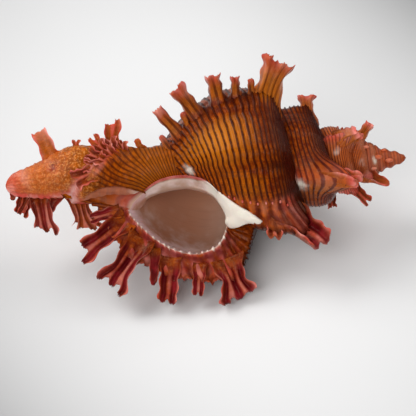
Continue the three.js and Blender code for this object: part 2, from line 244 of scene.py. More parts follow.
def grid_faces(rows, columns):
    """The quads between rings of points, each ring closed."""
    i = np.arange(rows - 1)[:, None] * columns
    j = np.arange(columns)[None, :]
    k = (j + 1) % columns
    return np.stack([i + j, i + k, i + columns + k, i + columns + j], -1).reshape(-1, 4)


def fan(ring, centre, flip=False):
    """The triangles between a ring and the middle of its cap."""
    a, b = np.asarray(ring), np.roll(ring, -1)
    if flip:
        a, b = b, a
    return np.stack([a, b, np.full_like(a, centre), np.full_like(a, NO_CORNER)], -1)


def add_tube(rings, start, end, **values):
    """A closed tube through rings of one length. Values are per ring point, or one for all."""
    rings = np.asarray(rings, float)
    rows, columns = rings.shape[:2]
    points = np.concatenate([rings.reshape(-1, 3), [start, end]])
    first = np.arange(columns)
    caps = [fan(first, rows * columns, True), fan(first + (rows - 1) * columns, rows * columns + 1)]
    faces = np.concatenate([grid_faces(rows, columns), *caps])
    full = {}
    for name, value in values.items():
        v = np.broadcast_to(np.asarray(value, float), (rows, columns)).reshape(-1)
        full[name] = np.r_[v, v[0], v[-1]]
    add(points, faces, **full)


def mix(a, b, t):
    return a * (1 - t) + b * t


# ---- the whorls ----
def outline_samples(count, last=OUTLINE_END):
    """Points along the outline, closer together where the cords are."""
    keep = DENSE[:, 0] <= last
    s, c = DENSE_S[keep] / DENSE_S[keep][-1], DENSE_C[keep] / DENSE_C[keep][-1]
    key = 0.45 * s + 0.55 * c
    at = np.linspace(0, 1, count)
    d, r, cord = (np.interp(at, key, v[keep]) for v in (DENSE[:, 0], DENSE[:, 1], DENSE_C))
    dd, dr = np.gradient(d), np.gradient(r)
    size = np.hypot(dd, dr)
    return d, r, cord, -dr / size, dd / size


def relief(cord, turn, distance):
    """Height of the cords and threads above the whorl, at the lip's size."""
    phase = cord - np.round(cord)
    uneven = 0.75 + 0.35 * np.sin(cord * 2.7 + turn * 0.11) * np.sin(turn * 0.23 + cord)
    cords = (0.4 + 0.5 * rib_mask(turn, 8.0)) * uneven * bell(phase, 0, 0.2)
    swell = 0.15 * np.cos(2 * np.pi * phase * 2)
    growth = 0.06 * np.sin(turn * 1.9 + 1.5 * np.sin(cord * 0.7)) + 0.05 * np.sin(turn * 0.83 + cord * 0.3)
    # every second cord stands out in front of three ribs, most of all on the next whorl
    every_second = np.cos(np.pi * cord)
    folds = ((every_second + 0.5 * np.cos(3.3 * cord + 1)) * bell(turn, -327, 8)
            + 0.4 * every_second * (bell(turn, -645, 8) + bell(turn, -955, 8))) * fall(distance, 54, 60)
    # smooth where the inner lip and the callus cover the whorl
    covered = np.interp(distance, [50, 52.8, 58.2, 65.6, 74], [-420, -334, -323, -311, -297])
    fade = smooth(distance, 36, 38.5) * (1 - smooth(covered - turn, 2, 7) * (turn > -385))
    return (cords + swell + growth + folds) * fade


def waves(cord, turn):
    """How far the cords waver along the axis: most where they climb a rib, and at the growth stop."""
    on_rib = 0.17 * np.sin(turn * 0.42 + cord * 0.5) * bell(turn, -235, 16)
    at_stop = 0.2 * np.sin(turn * 0.5 + cord * 0.2) * bell(turn, -281, 7)
    return on_rib + 0.07 * np.sin(turn * 0.2 + cord * 0.35) + at_stop


def buttress(turn, distance):
    """How far each leafy spine's root lifts the whorl: outwards, and along the axis."""
    out, along = 0.0, 0.0
    for rib, items in RIB_FRONDS.items():
        for middle, length, lean, waist, _, _, more in items:
            before, after = more.get("wide", (13, 5))
            shape = bell(turn, rib, np.where(turn < rib, before, after))
            off = distance - middle
            across = 0.72 * bell(off, 0, 0.4 * waist + 0.3) + 0.28 * bell(off, 0, 0.85 * waist + 0.8)
            bump = more.get("rise", 0.24) * length * shape * across
            lean = math.radians(lean)
            out, along = out + bump * math.cos(lean), along + bump * math.sin(lean)
    return out, along


def whorl_rings(turns, samples):
    """The whorl's outside: one row of points for each turn."""
    d, r, cord, nd, nr = samples
    turn = turns[:, None]
    share = smooth(d, 36, 41) * fall(d, 70, 80)
    narrowed = 0.05 * bell(turn, -222, 24) * bell(d, 58, 9)
    tall = r * (1 + lift(turn) * share * (1 + 0.12 * np.cos(cord * 2.1)) - narrowed)
    # the next whorl's lower side sinks behind the last one
    sink = 1 - 0.25 * bell(turn, -372, 12) * smooth(d, 60, 66) * (turn < -360)
    h = relief(cord, turn, d)
    slip = waves(cord, turn) * smooth(d, 40, 46) * fall(d, 76, 84)
    out, along = buttress(turn, d)
    within = smooth(d, OUTLINE_START, 38) * fall(d, 76, 84)
    return place(d + nd * h + slip - along * within, (tall + nr * h + out * within) * sink, turn)


def patches(rows, turn, distance):
    """The sum of soft patches: strength, turn and its width, distance and its width."""
    return sum(strength * bell(turn, t, t_width) * bell(distance, d, d_width)
        for strength, t, t_width, d, d_width in rows)


PALE_PATCHES = [(0.9, -668, 11, 55.6, 3.6), (0.6, -988, 9, 50, 4), (0.25, -1372, 16, 47, 6),
        (0.5, -1725, 16, 45, 5), (0.75, -282, 12, 72.8, 1.5)]
# the first tone patch is partly the shell's gold, partly a painted pool of light on the last whorl; the last
# one is painted shade in the step of the growth stop
TONE_AND_SHADING_PATCHES = [(1.3, -256, 24, 61, 11), (0.5, -305, 16, 54, 8), (1.6, -219, 12, 41.6, 3.4),
        (0.9, -665, 18, 47, 9), (-0.6, -286, 4, 47, 8)]


def whorl_looks(turns, samples):
    """The values that colour the whorls."""
    d, _, cord, _, _ = samples
    turn = turns[:, None]
    cord = np.broadcast_to(cord, (len(turns), len(d)))
    spire = smooth(-turn, 560, 1000)
    older = smooth(-turn, 372, 390) * fall(-turn, 600, 680)
    # pink on the crests of the spire's ribs: partly the shell's own pink, partly painted highlight
    crest_pink_and_highlight = sum(bell(turn, rib + 4, 9) for rib in (-965, -1075, -1285, -1415)) + 0.5 * bell(turn, -660, 12)
    # the folded face in front of the rib of the next whorl
    face = smooth(turn, -338, -333) * fall(turn, -318, -311) * smooth(d, 38, 41)
    ridge = 0.5 + 0.5 * np.cos(np.pi * cord) + 0.2 * np.sin(3.3 * cord + turn * 0.2)
    valley = face * (1 - ridge)

    # more pink on the ridges of the folded face and less in its valleys: partly colour, partly painted
    # highlight
    pink = (0.24 * spire + 0.6 * crest_pink_and_highlight * smooth(-turn, 500, 700)
            + 0.3 * face * (0.25 + 0.75 * bell(d, 40, 4.5)) + 0 * d)
    pink = np.clip(pink, 0, 1) * (1 - 0.7 * valley) + 0.12 * bell(turn, -320, 6) * smooth(d, 38, 42) * ridge
    # tone: painted shade on the shoulder side away from the light, next to the rib at turn -217, along the
    # suture and in the valleys of the folded face; painted highlights on its ridges
    tone = (patches(TONE_AND_SHADING_PATCHES, turn, d) + 0.6 * spire - 0.35 * older + face * (0.75 * ridge - 0.4)
            - 0.9 * fall(d, 38, 49) * (1 - spire)
            - 0.3 * rib_mask(turn, 10) * smooth(-turn, 180, 200)
            - 0.5 * bell(turn, -226, 17) * smooth(d, 43, 46) * fall(d, 62, 70)
            - 0.5 * bell(turn, -325, 16) * fall(d, 52, 64) * (1 - face))
    return {"cord": cord, "turn": np.broadcast_to(turn, cord.shape), "tone": tone, "lines": 1 - 0.75 * face,
            "pink": np.clip(pink, 0, 1), "crimson": np.clip(0.3 * valley * bell(d, 40, 5), 0, 1),
            "pale": np.clip(patches(PALE_PATCHES, turn, d), 0, 1)}


def carried_on(looks, more):
    """Each look's rows with their last value repeated for more points."""
    return {k: np.concatenate([v, np.repeat(v[:, -1:], more, 1)], 1) for k, v in looks.items()}


def older_whorls():
    """The whorls before the last, in three stretches with points further apart towards the apex."""
    closing = 8
    stretches = ((-383, -747, 2.6, 110), (-743, -1108, 3.6, 64), (-1104, OLDEST_TURN, 5.5, 38))
    for newest, oldest, step, count in stretches:
        turns = np.linspace(oldest, newest, int((newest - oldest) / step))
        samples = outline_samples(count, 62)
        core = place(np.linspace(samples[0][-1], samples[0][0], closing), AXIS_RADIUS, turns[:, None])
        looks = carried_on(whorl_looks(turns, samples), closing)
        add_tube(np.concatenate([whorl_rings(turns, samples), core], 1),
                place(50, 8, turns[0]), place(50, 8, turns[-1]), **looks)


def last_whorl():
    """The last whorl, its lip's face and the hollow behind the mouth, as one closed surface."""
    count, closing = 214, 20
    none = np.zeros(closing)
    turns = np.unique(np.r_[np.linspace(-385, 0, 150), np.linspace(-12, 0, 9)])
    samples = outline_samples(count)
    d, _, cord, _, _ = samples
    # the lip's edge is drawn out into small frills
    edge = smooth(turns, -9, 0)[:, None] * smooth(d, 40, 44) * fall(d, 72, 78)
    frill = 0.45 * np.abs(np.sin(np.pi * cord * 0.5)) + 0.25 * np.sin(cord * 1.7) - 0.5
    outwards = place(0, 1, turns)[:, None, :] * np.array([0, 1, 1])
    rings = whorl_rings(turns, samples) + outwards * (edge * frill)[..., None]
    core = place(np.linspace(OUTLINE_END, OUTLINE_START, closing), AXIS_RADIUS, turns[:, None])
    outer = np.concatenate([rings, core], 1)

    # the mouth's edge, matched point by point to the lip's
    s = np.interp(cord, DENSE_C, DENSE_S / DENSE_S[-1])
    along = np.interp(s, [0, 0.1, 0.62, 0.8, 1], [0, 0.03, 0.84, 0.97, 1])
    lip = catmull(MOUTH_LIP, 400)
    lip = np.stack([np.interp(along, np.linspace(0, 1, 400), lip[:, k]) for k in range(3)], 1)
    mouth = np.concatenate([lip, catmull(MOUTH_INNER, closing + 2)[1:-1]])
    on_lip = np.r_[smooth(along, 0.0, 0.06) * fall(along, 0.93, 0.99), none]
    comb = np.cos(2 * np.pi * (TEETH * along + 0.25 * np.sin(along * 23))) + 0.25 * np.sin(along * 71)
    teeth = np.r_[np.maximum(0, comb) ** 0.8, none] * on_lip
    pleats = np.r_[np.cos(np.pi * cord), none]

    # the lip's face, from the whorl's edge (w = 0) to the mouth's edge (w = 1)
    w = np.linspace(0, 1, 15)[1:, None]
    rise = (1.15 * bell(w, 0.9, 0.1) * on_lip - 0.35 * np.sin(np.pi * w) * on_lip
            + 0.55 * pleats * on_lip * smooth(w, 0, 0.15) * fall(w, 0.62, 0.8)
            + 0.45 * teeth * bell(w, 0.95, 0.09))
    face = mix(outer[-1][None], place(*mouth.T)[None], w[..., None]) + FORWARD * rise[..., None]

    # the hollow, from the mouth's edge (back = 0) to its inner wall (back = 1)
    rows = 46
    back = (np.arange(1, rows + 1) / rows)[:, None] ** 1.6
    turn = mix(mouth[:, 2][None], INNER_WALL_TURN, back)
    widen = 1 + 0.012 * np.sin(turn * 0.13) - 0.03 * teeth * bell(back, 0, 0.06)
    hollow = place(mouth[:, 0], mouth[:, 1] * widen, turn)

    far = np.r_[smooth(along, 0.08, 0.2), np.ones(closing)]
    corner = np.r_[smooth(along, 0.94, 1.0), 1 - smooth(np.arange(closing), 4, 9)]
    band = (0.8 * bell(w, 0.84, 0.12) + 0.45 * far * bell(w, 0.55, 0.25)) * on_lip * (0.75 + 0.25 * pleats)
    rim = 0.6 * bell(back, 0, 0.1) + 0.3 * bell(back, 0, 0.25)
    widened = carried_on({**whorl_looks(turns, samples), "edge": edge}, closing)
    on_outer = {**widened, "pink": widened["pink"] + 0.35 * widened["edge"]}
    on_face = {
        "cord": np.r_[cord, np.repeat(cord[-1], closing)],
        "turn": 40 * w,
        "lines": 0.3 * (1 - w) * on_lip,
        "tone": -0.1 - 0.4 * (1 - far),
        "pink": ((0.45 + 0.3 * pleats) * smooth(w, 0, 0.3) * on_lip * (0.25 + 0.75 * far)
            + 0.6 * corner * bell(w, 1, 0.2)),
        "crimson": np.clip(band * (1 - 0.6 * teeth * bell(w, 0.95, 0.1))
            + 0.7 * corner * bell(w, 1, 0.1), 0, 1),
        "pale": np.clip(0.5 * teeth * bell(w, 0.97, 0.08) + 0.4 * smooth(w, 0.96, 1.0) * on_lip, 0, 1),
        "inside": smooth(w, 0.93, 1.0) * (1 - 0.3 * on_lip),
    }
    on_hollow = {
        "cord": mouth[:, 0],
        "turn": turn,
        "crimson": 0.9 * np.maximum(on_lip, corner) * bell(back, 0, 0.16),
        "pale": rim * (0.05 + 0.95 * on_lip) + 0.5 * corner * bell(back, 0.02, 0.2),
        "inside": 1.0,
    }
    surfaces = ((outer, on_outer), (face, on_face), (hollow, on_hollow))
    values = {name: np.concatenate([np.broadcast_to(looks.get(name, 0.0), points.shape[:2])
            for points, looks in surfaces]) for name in NAMES}
    middles = place(50, 8, turns[0]), place(54, 13, INNER_WALL_TURN)
    add_tube(np.concatenate([outer, face, hollow]), *middles, **values)


# ---- the canal ----
# x, height and depth of its middle, and its radius
CANAL = [(-1, 2.4, 1.2, 3.6), (-4, 2.0, 0.8, 5.2), (-8, 1.6, 0.6, 5.7), (-12, 1.0, 0.5, 5.7),
        (-16, 0.5, 0.5, 5.6), (-20, 0.1, 0.5, 5.9), (-26.5, 1.2, 0.8, 6.1), (-32.5, 2.0, 1.2, 6.0),
        (-36.5, 1.7, 1.6, 5.3), (-40, 0.8, 1.9, 4.5), (-44.5, 0.1, 2.4, 3.4), (-47.8, -0.3, 2.7, 2.7),
        (-49.6, -0.5, 3, 1.6), (-50.3, -0.6, 3, 0.5)]
# the frilled scarp, where the smooth neck steps down to the grainy tip: x along heights
SCARP = ([-5, -3.3, -1.6, 0.0, 1.9, 3.6, 5.2, 7.4], [-34.2, -33.0, -31.7, -30.6, -28.9, -27.1, -25.2, -22.6])
# the canal's smooth floor: heights of its upper and lower edges along x
CHANNEL_TOP = ([-31, -28.5, -26, -23.5, -21, -19, -17.3, -15],
        [-4.2, -3.0, -2.6, -2.7, -3.1, -3.7, -4.4, -5.2])
CHANNEL_LOW = ([-36, -30.8, -27.9, -25.7, -23.5, -21.2, -19.3, -17],
        [-4.2, -4.5, -5.2, -5.8, -6.5, -7.1, -7.6, -8.0])
LOWER_EDGE = 1.5 * np.pi + 0.3  # of the canal, as an angle about its middle
FAN_X, FAN_Z = -6.0, -9.0  # where the neck's threads spread from


def canal():
    line = catmull(CANAL, 120)
    x, height, depth, radius = (line[:, k][:, None] for k in range(4))
    a = around(84)
    pinch = 1 + 0.13 * bell(a, 1.5 * np.pi, 0.45) * smooth(-x, 22, 30) - 0.05 * np.cos(2 * a)
    y, z = depth - radius * pinch * np.cos(a), height + radius * pinch * np.sin(a)
    front = smooth(np.cos(a), -0.25, 0.35)
    edge = np.interp(z, *SCARP)
    frill = 0.55 * np.abs(np.sin(z * 2.1 + 0.6)) + 0.25 * np.sin(z * 5.3)
    step = smooth(x, edge - 0.3 - frill, edge + 0.25 - frill) * fall(x, edge + 2.5, edge + 11)
    second = (smooth(x, edge + 2.2 - frill, edge + 2.6 - frill) * fall(x, edge + 4, edge + 9)
            * smooth(z, -1, 3))
    top, low = np.interp(x, *CHANNEL_TOP), np.interp(x, *CHANNEL_LOW)
    floor_mask = (smooth(top - z, -0.25, 0.35) * smooth(z - low, -0.2, 0.3)
            * smooth(x, -31.2, -30.2) * fall(x, -16.5, -15) * (y < 0))
    below = bell(z - low, -0.55, 0.5) * smooth(x, -36, -33) * (y < 1)
    pit = bell(x, -38.2, 1.4) * bell(z, 3.2, 1.0) * front
    h = ((1.25 * step + 0.6 * second) * front - 0.5 * floor_mask + 0.35 * below - 0.6 * pit
         + 0.4 * bell(a, LOWER_EDGE, 0.12) * smooth(-x, 29, 34)
         + 0.12 * np.sin(x * 4.3 + z * 2.1 + np.sin(z * 3)) * smooth(-x, 33, 36) * fall(-x, 44, 48)
         + 0.07 * np.sin(x * 3.1 + 2 * np.sin(a * 5)) + 0.09 * np.sin(a * 17 + x * 0.6) * smooth(-x, 18, 26))
    rings = vectors(x, y - h * np.cos(a), z + h * np.sin(a))

    # its threads spread like the ribs of an open fan
    cord = np.degrees(np.arctan2(z - FAN_Z, FAN_X - x)) / 3.4 + 0.4 * np.sin(x * 0.5)
    turn = -400 - 5 * np.hypot(x - FAN_X, z - FAN_Z)
    at_edge = front * (bell(x, edge - 0.6, 1.1) + 0.6 * bell(x, edge + 2.4, 0.8) * smooth(z, -1, 3))
    lower = bell(a, LOWER_EDGE, 0.2) * smooth(-x, 29, 34)
    pink = np.clip(0.85 * at_edge + 0.8 * lower
        + 0.5 * smooth(-x, 43, 49.5) + 0.25 * smooth(-x, 30, 42), 0, 1)
    flap = front * bell(x, edge - 0.4, 1.7) * bell(z, -3.2, 2.2)
    bare = 1 - floor_mask
    # tone: lighter towards the tip and on the neck, partly as painted light; painted shade in the pit
    tone = 0.35 * smooth(-x, 23, 31) + 0.4 * smooth(-x, 33, 42) - 0.9 * pit + 0.45 * bell(x, -13, 8)
    add_tube(rings, [-0.5, 1.2, 2.4], [-50.5, 3, -0.6], cord=mix(cord, 58.0, floor_mask), turn=turn,
            tone=tone, lines=0.75 * fall(-x, 26, 31) * (1 - 0.5 * at_edge) * bare,
            pink=np.clip(pink * bare + 0.6 * below + 0.25 * floor_mask, 0, 1),
            pale=np.clip(0.25 * flap + 0.28 * lower + 0.6 * floor_mask * smooth(x, -21.5, -17), 0, 1),
            crimson=np.clip(0.35 * at_edge * bare + 0.5 * below, 0, 1), inside=0.45 * floor_mask,
            grain=smooth(-x, 24, 31) * (1 - 0.6 * at_edge) * (1 - lower) * bare)


# ---- the axis: its columella and its tip ----
def about_axis(distance, radius, angle):
    return vectors(CENTRE_X - distance, radius * np.cos(angle), radius * np.sin(angle))


def columella():
    line = np.array([(6, 1), (30, 1.4), (45, 3.2), (54, 3.6), (62, 4.2), (70, 4.6)], float)
    rings = about_axis(line[:, :1], line[:, 1:], around(24))
    add_tube(rings, [CENTRE_X - 5, 0, 0], [CENTRE_X - 71, 0, 0], inside=1.0)


def apex():
    line = catmull([(9, 5.2), (6.5, 4.1), (4, 3.0), (1.5, 2.2), (-0.7, 1.5), (-2.1, 0.8)], 40)
    a = around(40)
    distance, radius = line[:, :1], line[:, 1:]
    coiled = radius * (1 + 0.1 * np.sin(distance * 2.6 + a))
    add_tube(about_axis(distance, coiled, a), [CENTRE_X - 10, 0, 0], [CENTRE_X + 2.6, 0, 0], pink=0.15,
        tone=0.1, cord=distance * 1.3 + a / (2 * np.pi), lines=0.5, turn=OLDEST_TURN - 10)


# ---- the mouth's inner lip, callus and beads ----
def skin_tree():
    """The outer skin as it stands, without the lip's face and the hollow behind it."""
    points, turn, inside = (np.concatenate(store[k]) for k in ("points", "turn", "inside"))
    faces = np.concatenate(store["faces"])
    first = faces[:, 0]
    faces = faces[(turn[first] < -200) & (inside[first] < 0.2)]
    return BVHTree.FromPolygons(points.tolist(), [[i for i in f if i >= 0] for f in faces.tolist()])


FAR_FRONT, INWARDS = -90.0, Vector((0, 1, 0))  # a depth before all skin, and the way in from there


def front_depth(x, z):
    """Depth y of the outer skin on the side that faces -Y. A miss takes the depth between its neighbours."""
    x, z = np.broadcast_arrays(np.asarray(x, float), np.asarray(z, float))
    hits = [tree.ray_cast(Vector((px, FAR_FRONT, pz)), INWARDS)[0] for px, pz in zip(x.ravel(), z.ravel())]
    found = np.array([np.nan if hit is None else hit.y for hit in hits])
    missed = np.isnan(found)
    if missed.any():
        found[missed] = np.interp(np.flatnonzero(missed), np.flatnonzero(~missed), found[~missed])
    return found.reshape(x.shape)


def even_out(values, times=6):
    """Averages each row of depths with its neighbours."""
    for _ in range(times):
        before, after = np.vstack([values[:1], values[:-1]]), np.vstack([values[1:], values[-1:]])
        values = (before + 2 * values + after) / 4
    return values


def laid_on(x, z):
    """A smooth surface fitted to the outer skin under these points."""
    y = front_depth(x, z).ravel()
    u, v = x.ravel(), z.ravel()
    terms = np.stack([np.ones(x.size), u, v, u**2, u * v, v**2], 1)
    keep = np.ones(x.size, bool)
    for _ in range(5):
        fit = np.linalg.lstsq(terms[keep], y[keep], rcond=None)[0]
        off = y - terms @ fit
        keep = np.abs(off) < max(0.4, 1.2 * off[keep].std())
    return (terms @ fit).reshape(x.shape)


def inner_lip():
    """The columella's lip: a raised sheet with a pink outer edge and a pale slope into the mouth."""
    rows, columns = 90, 15
    outer = catmull([(-20.7, -7.7), (-19.4, -7.1), (-17.9, -5.7), (-15.5, -3.9), (-12.9, -2.2), (-10.3, -1.3),
            (-7, -0.9), (-4, -1.2), (-0.4, -2.5), (2.4, -5.3), (4.4, -8.8), (5.4, -12)], rows)
    inner = catmull([(-20.4, -8.1), (-18.9, -7.8), (-17.1, -6.5), (-14.6, -5.2), (-11.9, -4.3), (-9.3, -3.8),
            (-6.7, -3.6), (-4.2, -3.7), (0.4, -5.4), (3.1, -8.5), (4.1, -10.9), (4.3, -13.4)], rows)
    q = np.linspace(0, 1, columns)
    flat = mix(outer[:, None], inner[:, None], q[None, :, None])
    ground = front_depth(flat[..., 0], flat[..., 1])
    for j in range(1, columns):
        ground[:, j] = np.clip(ground[:, j], ground[:, j - 1] - 0.05, ground[:, j - 1] + 0.22)
    thick = 0.35 + 0.55 * bell(q, 0.1, 0.1)
    top = np.stack([flat[..., 0], even_out(ground) - thick, flat[..., 1]], -1)
    deep = top[:, -1:] + np.array([[0, 0.8, -0.4], [0, 2.0, -0.8], [0, 3.6, -0.9]])
    under = top[:, :1] + np.array([[0, 2.4, -0.3], [0, 0.9, 0.12]])
    rings = np.concatenate([top, deep, under], 1)

    q = np.r_[q, 1.1, 1.3, 1.5, 0, 0]
    along = np.linspace(0, 1, rows)[:, None]
    left = 1 - smooth(along, 0.6, 0.75)
    pale = smooth(q + 0.5 * (1 - left), 0.1, 0.4) * (0.92 - 0.46 * left) * fall(q, 0.95, 1.25)
    add_tube(rings, rings[0].mean(0), rings[-1].mean(0), pale=pale, turn=along * 60,
            inside=np.maximum(smooth(q, 0.9, 1.3), left * smooth(q, 0.2, 0.4)),
            pink=fall(q, 0.12, 0.34) * left,
            crimson=left * (0.75 * bell(q, 0.06, 0.1) + 0.5 * smooth(q, 0.3, 0.5)))


def callus():
    """A smooth raised patch inside a closed curve of (x, z), laid on the skin."""
    rows, columns, thickness = 16, 96, 1.6
    edge = [(2.2, -5.2), (4.2, -6.6), (5.8, -8.0), (7.9, -9.6), (10.3, -11.1), (12.2, -12.7), (13.1, -13.6),
            (12.0, -14.2), (9.4, -13.9), (6.8, -14.7), (5.0, -14.7), (3.9, -13.4), (4.1, -11.8), (3.4, -9.8),
            (2.2, -7.4)]
    curve = catmull(edge, columns + 1, closed=True)[:-1]
    rho = np.linspace(0.04, 1, rows)[:, None]
    flat = mix(np.array([6.6, -11.8]), curve[None], rho[..., None])
    x, z = flat[..., 0], flat[..., 1]
    ground = laid_on(x, z) - 0.1
    rise = thickness * (1 - rho**2.6) ** 0.6
    bumps = 0.12 * np.sin(x * 1.3 + 1) * np.sin(z * 1.7) * (1 - rho**4)
    front = np.stack([x, ground - rise - bumps, z], -1)
    rear = np.stack([x, ground + 1.2, z], -1)[::-1]
    rings = np.concatenate([front, rear])
    add_tube(rings, rings[0].mean(0), rings[-1].mean(0), pale=1.0)


def knob(centre, sizes, **values):
    """A small egg-shaped knob."""
    lat = np.linspace(0.15, np.pi - 0.15, 9)[:, None]
    lon = around(14)
    unit = vectors(np.sin(lat) * np.cos(lon), np.sin(lat) * np.sin(lon), np.cos(lat))
    c, pole = np.array(centre), np.array([0, 0, sizes[2]])
    add_tube(c + unit * np.array(sizes), c + pole, c - pole, **values)


def beads():
    """The row of beads along the suture: x, z and size."""
    for x, z, r in [(3.4, -6.3, 0.35), (5.1, -7.0, 0.5), (6.4, -7.5, 0.55), (8.3, -8.3, 0.6),
            (10.2, -8.7, 0.6), (12.0, -9.2, 0.55), (14.0, -9.1, 0.6), (15.6, -9.2, 0.5), (17.5, -9.0, 0.55),
            (19.3, -9.9, 0.5)]:
        y = float(front_depth(x, z)) - 0.1
        knob([x + 0.3 * r, y, z], [r * 0.45, r * 0.6, r * 0.7], pink=0.8, pale=0.14)


def spire_knobs():
    spots = [(42.9, 0.6, 1.0), (45.7, -0.4, 0.9), (40.0, 3.2, 0.8), (44.6, 2.2, 0.7), (41.6, -2.2, 0.8)]
    for x, z, r in spots:
        y = float(front_depth(x, z)) + 0.1
        knob([x, y, z], [r * 1.1, r, r * 0.6], pink=0.45, tone=0.6, grain=0.4)


# ---- leafy spines ----
def frond(foot, out, across, forward, length, base, waist, tip, digits, notch=0.22, root=2.0, curl=0.05,
        bow=0.0, lengths=None, roll=1.3, cord0=0.0, gap=1.6, hollow=0.6, rosy=0.5, splay=0.1, lined=1.0,
        tone=None, dark=0.0, stout=1.0, rows=28, seed=0):
    """A leaf bent into a gutter that is open forwards, with blunt ragged digits at its tip.

    It stands at foot along out, and root is how deep it reaches below that. base, waist and tip are its
    widths, and roll is how far it is bent, in radians. notch is the share of the length where the digits
    part, splay how far they spread, and curl and bow bend it back and sideways. cord0 and gap carry the
    whorl's cords on. rosy, hollow and lined set how pink, how crimson inside and how lined it is; the next
    two set how golden it is, partly with painted light and shade, and how much painted shade darkens its
    foot where it meets the whorl.
    """
    local = np.random.default_rng(seed)
    columns = max(15, 11 * digits + 4)
    u = np.linspace(-1, 1, columns)[None, :]
    t = np.linspace(0, 1, rows)[:, None]
    at = (u + 1) / 2 * digits
    k = np.clip(at.astype(int), 0, digits - 1)
    within = at - k
    shoulder = np.minimum(within, 1 - within)
    outermost = ((k == 0) & (within < 0.5)) | ((k == digits - 1) & (within > 0.5))
    crown = np.where(outermost, mix(0.62, 1.0, smooth(shoulder, 0, 0.2)), smooth(shoulder, 0, 0.22))
    if digits == 1:
        crown = 1 - 0.8 * np.abs(u) ** 2.6
    sizes = np.array(lengths if lengths else list(0.88 + 0.14 * local.random(digits)))
    ragged = 1 + 0.018 * np.clip(local.standard_normal(columns), -1.5, 1.5)[None, :] * (np.abs(u) < 0.9)
    reach = mix(1 - notch, sizes[k] * ragged, crown)
    h = t * mix(1.0, reach, smooth(t, 0.3, 1.0))
    half = mix(mix(base, waist, smooth(h, 0, 0.42)), tip, smooth(h, 0.45, 1.0) ** 1.15) / 2
    wavy = 1 + 0.1 * np.sin(h * 17 + seed + 2 * np.sign(u)) * np.abs(u) ** 3
    half = half * wavy * (1 - 0.12 * smooth(h, 0.88, 1.0))
    angle = mix(roll, (0.35 if digits == 1 else 0.62) * roll, smooth(h, 0.35, 1.0))
    radius = half / np.sin(np.minimum(angle, 1.5))
    side = radius * np.sin(u * angle)
    bend = -curl * length * h**2 + radius * (1 - np.cos(u * angle)) - 0.35 * radius * (1 - np.cos(angle))
    fold = 0.1 * waist * smooth(h, 0.05, 0.4) * (1 + 0.5 * smooth(h, 0.6, 1.0)) * np.cos(2 * np.pi * within)
    bend = bend + fold * (digits > 1) + 0.03 * length * np.sin(at * 2.3 + seed) * smooth(h, 0.7, 1.0)
    spread = (k + 0.5 - digits / 2) / digits * splay * smooth(h, 0.6, 1.0) ** 1.5
    drift = length * (0.02 * np.sin(h * 8 + 2.1 * k + seed) * smooth(h, 0.4, 0.9) + spread + bow * h**2)
    run = h * length - root * (1 - t) ** 5
    thick = 0.5 * stout * (0.7 + 0.12 * waist) * (1 - 0.2 * h) * (1 - 0.4 * np.abs(u) ** 6)
    thick = thick * mix(1.0, 0.7 + 0.45 * crown, smooth(t, 0.3, 0.9)) * (1 - 0.5 * smooth(t, 0.95, 1.0))
    swollen = 0.12 * base * fall(h, 0, 0.3)
    cord = cord0 - side / gap * mix(1.0, waist / max(tip, waist), smooth(h, 0.3, 1.0))
    ridge = 0.16 * bell(cord - np.round(cord), 0, 0.2) * fall(h, 0.7, 1.0) * min(1.0, waist / 3)
    along = lambda v, axis: v[..., None] * axis
    middle = foot + along(run, out) + along(side + drift, across)
    rear = middle + along(bend - thick - swollen - ridge, forward)
    face = middle + along(bend + thick, forward)
    ring = np.concatenate([rear, face[:, ::-1]], 1)

    # looks, each for the rear and for the face
    tipped = smooth(h, 0.5, 1.0)
    groove = 0.5 - 0.5 * np.cos(2 * np.pi * within) if digits > 1 else 1 - u**2 + 0 * h
    edge = np.abs(u) ** 4 * smooth(h, 0.1, 0.4)
    streak = 0.15 * np.sin(7 * u + seed + 4 * h)
    # pink on the ridges of the face: partly the spine's own pink, partly painted highlight
    crest_pink_and_highlight = (0.05 + 0.6 * (1 - groove) ** 3 * smooth(h, 0.1, 0.5)) * (0.6 + 0.8 * rosy)
    gutter = hollow * (0.2 + 0.8 * smooth(groove, 0.1, 0.6)) * smooth(h, 0.02, 0.3)
    gutter = gutter * (1 - 0.7 * edge) * (1 - 0.4 * rosy * tipped)
    # painted shade: the spine darkens at its foot, where it meets the whorl
    shade = (0.7 * rosy - 0.2 if tone is None else tone) - dark * fall(h, 0.04, 0.34)
    looks = {
        "cord": (cord, cord + 0.5),
        "lines": (lined * 0.95 * (1 - 0.75 * tipped), lined * 0.25 * (1 - tipped)),
        "turn": (h * length * 4 + seed * 17.0,) * 2,
        "tone": (shade, shade),
        "pink": (rosy * (0.1 + 1.0 * tipped) + 0.25 * edge + streak * tipped,
            crest_pink_and_highlight + 0.35 * rosy * tipped + 0.4 * edge),
        "crimson": ((1 - rosy) * 0.7 * tipped + 0.2 * (1 - crown) * tipped, gutter),
    }
    values = {name: np.concatenate([rear_value, face_value[:, ::-1]], 1).reshape(-1)
            for name, (rear_value, face_value) in looks.items()}
    for name in ("pink", "crimson"):
        values[name] = np.clip(values[name], 0, 1)
    count, n = ring.shape[:2]
    j = np.arange(columns - 1)
    low = np.stack([j, n - 1 - j, n - 2 - j, j + 1], -1)
    high = np.stack([j, j + 1, n - 2 - j, n - 1 - j], -1) + (count - 1) * n
    add(ring.reshape(-1, 3), np.concatenate([grid_faces(count, n), low, high]), grain=0.2, **values)


